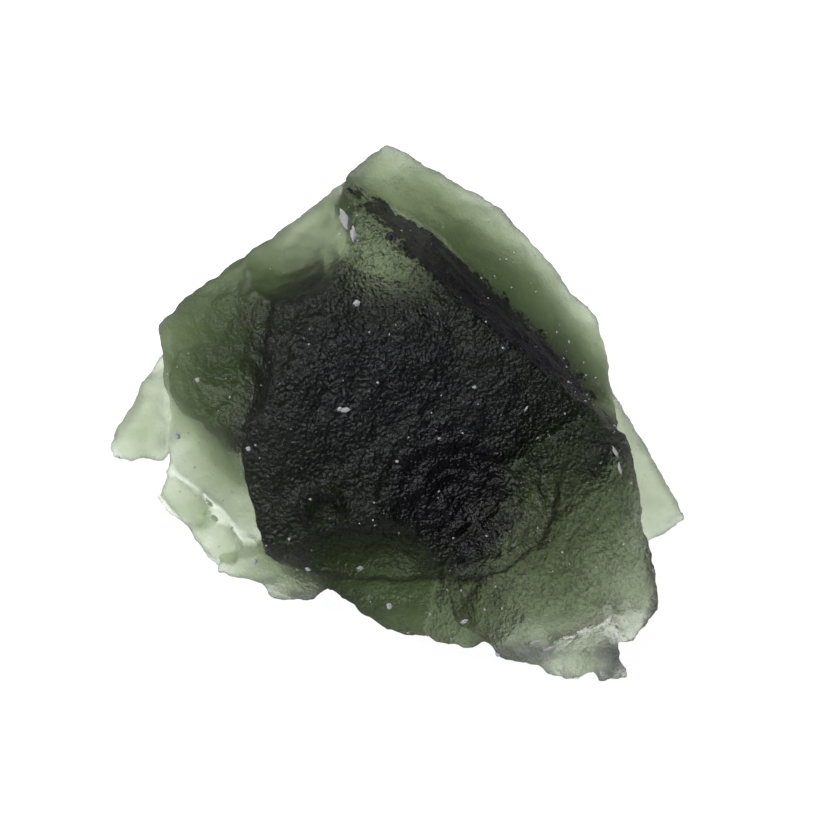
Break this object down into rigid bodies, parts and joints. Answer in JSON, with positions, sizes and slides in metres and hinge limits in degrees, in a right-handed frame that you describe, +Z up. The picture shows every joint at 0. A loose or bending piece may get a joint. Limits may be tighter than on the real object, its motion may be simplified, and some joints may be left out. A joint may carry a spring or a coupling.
{
  "type": "raw moldavite",
  "caption": "Rough shard of dark green translucent natural glass with a thick core, a bevelled face, curved breaks and thin ragged wings round its rim; lies on a flat break.",
  "frame": {"origin": "centre of the stone's box, on the surface that it lies on", "axes": "+Z up, +X to the right along the stone's longest way, -Y towards the side that the broad face leans to"},
  "size_m": [0.03, 0.0264, 0.0122],
  "materials": {
    "moldavite_glass": "etched natural glass, satin where it is pitted and glossy in its curved breaks, see-through where it is thin"
  },
  "bodies": {
    "root": {"moldavite": "moldavite_glass"}
  },
  "joints": []
}
